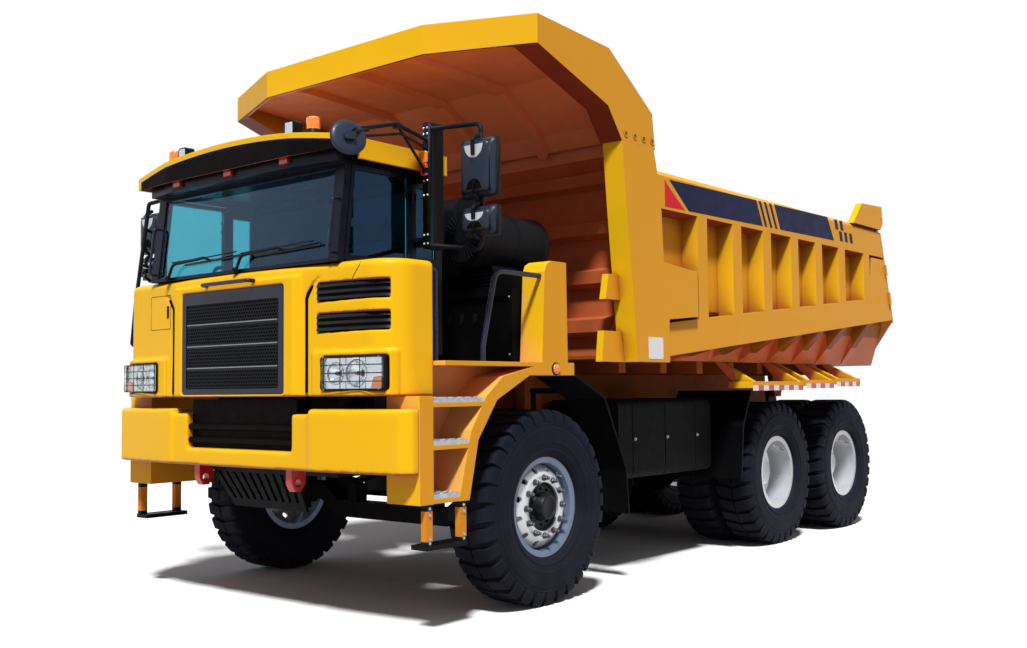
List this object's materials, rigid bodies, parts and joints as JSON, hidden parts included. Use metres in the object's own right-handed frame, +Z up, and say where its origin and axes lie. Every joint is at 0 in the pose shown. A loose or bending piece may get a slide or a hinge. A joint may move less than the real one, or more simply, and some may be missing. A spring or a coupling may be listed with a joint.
{
  "type": "mining dump truck",
  "caption": "Wide-body mining dump truck with a canopied tipping body, twin rear wheels, a forward cab and steered front wheels.",
  "frame": {"origin": "on the ground under the middle of the whole truck's box", "axes": "+Z up, -Y the way the truck drives forward, +X the truck's left side"},
  "size_m": [3.73, 8.2806, 4.138],
  "materials": {
    "tyre_rubber": "moulded",
    "silver_rim": "silver paint",
    "chassis_black": "satin paint",
    "engine_iron": "painted casting",
    "cab_navy": "gloss paint",
    "cab_trim": "moulded",
    "cab_window": "tinted",
    "body_yellow": "gloss paint",
    "hook_red": "gloss paint",
    "tread_steel": "galvanised",
    "hoist_chrome": "polished",
    "amber_lens": "moulded lens",
    "red_lens": "moulded lens"
  },
  "bodies": {
    "chassis": {"chassis_frame": "chassis_black", "front_axle": "chassis_black", "drive_axles": "chassis_black", "springs": "chassis_black", "engine": "engine_iron", "driveline": "chassis_black", "cab_shell": "cab_navy", "cab_glass": "cab_window", "cab_roof": "body_yellow", "cab_interior": "cab_trim", "front_panel": "body_yellow", "grille": "chassis_black", "headlights": "cab_window", "bumper": "body_yellow", "skid_grating": "chassis_black", "tow_hooks": "hook_red", "wings": "body_yellow", "step_treads": "tread_steel", "hanging_steps": "chassis_black", "mudguards": "chassis_black", "equipment_cabinets": "chassis_black", "air_cleaner": "chassis_black", "tanks": "chassis_black", "radiator": "chassis_black", "handrails": "chassis_black", "mirrors": "chassis_black", "beacons": "amber_lens", "work_lamps": "chassis_black", "marker_lamps": "red_lens"},
    "dump_body": {"body_floor": "body_yellow", "body_side_left": "body_yellow", "body_side_right": "body_yellow", "body_bulkhead": "body_yellow", "body_canopy": "body_yellow", "body_guards": "body_yellow"},
    "tailgate": {"tailgate": "body_yellow"},
    "tie_rod": {"tie_rod": "chassis_black"},
    "knuckle_left": {"knuckle_left": "chassis_black"},
    "front_wheel_left": {"front_tyre_left": "tyre_rubber", "front_rim_left": "silver_rim"},
    "middle_wheels_left": {"middle_tyres_left": "tyre_rubber", "middle_rims_left": "silver_rim"},
    "rear_wheels_left": {"rear_tyres_left": "tyre_rubber", "rear_rims_left": "silver_rim"},
    "door_left": {"door_left": "cab_navy", "door_glass_left": "cab_window"},
    "hoist_barrel_left": {"hoist_barrel_left": "chassis_black"},
    "hoist_rod_left": {"hoist_rod_left": "hoist_chrome"},
    "knuckle_right": {"knuckle_right": "chassis_black"},
    "front_wheel_right": {"front_tyre_right": "tyre_rubber", "front_rim_right": "silver_rim"},
    "middle_wheels_right": {"middle_tyres_right": "tyre_rubber", "middle_rims_right": "silver_rim"},
    "rear_wheels_right": {"rear_tyres_right": "tyre_rubber", "rear_rims_right": "silver_rim"},
    "door_right": {"door_right": "cab_navy", "door_glass_right": "cab_window"},
    "hoist_barrel_right": {"hoist_barrel_right": "chassis_black"},
    "hoist_rod_right": {"hoist_rod_right": "hoist_chrome"}
  },
  "joints": [
    {"name": "steer_left", "type": "hinge", "parent": "chassis", "child": "knuckle_left", "pos_m": [1.06, -2.3437, 0.685], "axis": [0, 0, 1], "range_deg": [-35, 35]},
    {"name": "front_wheel_left_spin", "type": "hinge", "parent": "knuckle_left", "child": "front_wheel_left", "pos_m": [1.369, -2.3437, 0.685], "axis": [1, 0, 0], "continuous": true},
    {"name": "middle_wheels_left_spin", "type": "hinge", "parent": "chassis", "child": "middle_wheels_left", "pos_m": [1.054, 1.4593, 0.685], "axis": [1, 0, 0], "continuous": true},
    {"name": "rear_wheels_left_spin", "type": "hinge", "parent": "chassis", "child": "rear_wheels_left", "pos_m": [1.054, 3.0333, 0.685], "axis": [1, 0, 0], "continuous": true},
    {"name": "door_left_swing", "type": "hinge", "parent": "chassis", "child": "door_left", "pos_m": [1.064, -3.2027, 2.4], "axis": [0, 0, 1], "range_deg": [0, 50]},
    {"name": "steer_right", "type": "hinge", "parent": "chassis", "child": "knuckle_right", "pos_m": [-1.06, -2.3437, 0.685], "axis": [0, 0, 1], "range_deg": [-35, 35]},
    {"name": "front_wheel_right_spin", "type": "hinge", "parent": "knuckle_right", "child": "front_wheel_right", "pos_m": [-1.369, -2.3437, 0.685], "axis": [1, 0, 0], "continuous": true},
    {"name": "middle_wheels_right_spin", "type": "hinge", "parent": "chassis", "child": "middle_wheels_right", "pos_m": [-1.054, 1.4593, 0.685], "axis": [1, 0, 0], "continuous": true},
    {"name": "rear_wheels_right_spin", "type": "hinge", "parent": "chassis", "child": "rear_wheels_right", "pos_m": [-1.054, 3.0333, 0.685], "axis": [1, 0, 0], "continuous": true},
    {"name": "door_right_swing", "type": "hinge", "parent": "chassis", "child": "door_right", "pos_m": [-1.064, -3.2027, 2.4], "axis": [0, 0, -1], "range_deg": [0, 50]},
    {"name": "tie_rod_swing", "type": "hinge", "parent": "knuckle_left", "child": "tie_rod", "pos_m": [1.06, -2.0437, 0.655], "axis": [0, 0, 1], "range_deg": [-35, 35]},
    {"name": "body_tip", "type": "hinge", "parent": "chassis", "child": "dump_body", "pos_m": [0, 3.2563, 1.48], "axis": [-1, 0, 0], "range_deg": [0, 48]},
    {"name": "tailgate_swing", "type": "hinge", "parent": "dump_body", "child": "tailgate", "pos_m": [0, 3.6213, 3.4], "axis": [1, 0, 0], "range_deg": [0, 45]},
    {"name": "hoist_left_swing", "type": "hinge", "parent": "chassis", "child": "hoist_barrel_left", "pos_m": [0.23, 0.6563, 1.01], "axis": [1, 0, 0], "range_deg": [0, 16.59]},
    {"name": "hoist_left_stroke", "type": "slide", "parent": "hoist_barrel_left", "child": "hoist_rod_left", "axis": [0, 0.9352, 0.3541], "range_m": [0, 0.8186]},
    {"name": "hoist_right_swing", "type": "hinge", "parent": "chassis", "child": "hoist_barrel_right", "pos_m": [-0.23, 0.6563, 1.01], "axis": [1, 0, 0], "range_deg": [0, 16.59]},
    {"name": "hoist_right_stroke", "type": "slide", "parent": "hoist_barrel_right", "child": "hoist_rod_right", "axis": [0, 0.9352, 0.3541], "range_m": [0, 0.8186]}
  ],
  "couplings": [
    {"joint": "steer_right", "follows": "steer_left", "ratio": 1},
    {"joint": "tie_rod_swing", "follows": "steer_left", "ratio": -1},
    {"joint": "hoist_left_swing", "follows": "body_tip", "ratio": 0.34468},
    {"joint": "hoist_left_stroke", "follows": "body_tip", "m_per_rad": 0.97588},
    {"joint": "hoist_right_swing", "follows": "body_tip", "ratio": 0.34468},
    {"joint": "hoist_right_stroke", "follows": "body_tip", "m_per_rad": 0.97588}
  ]
}
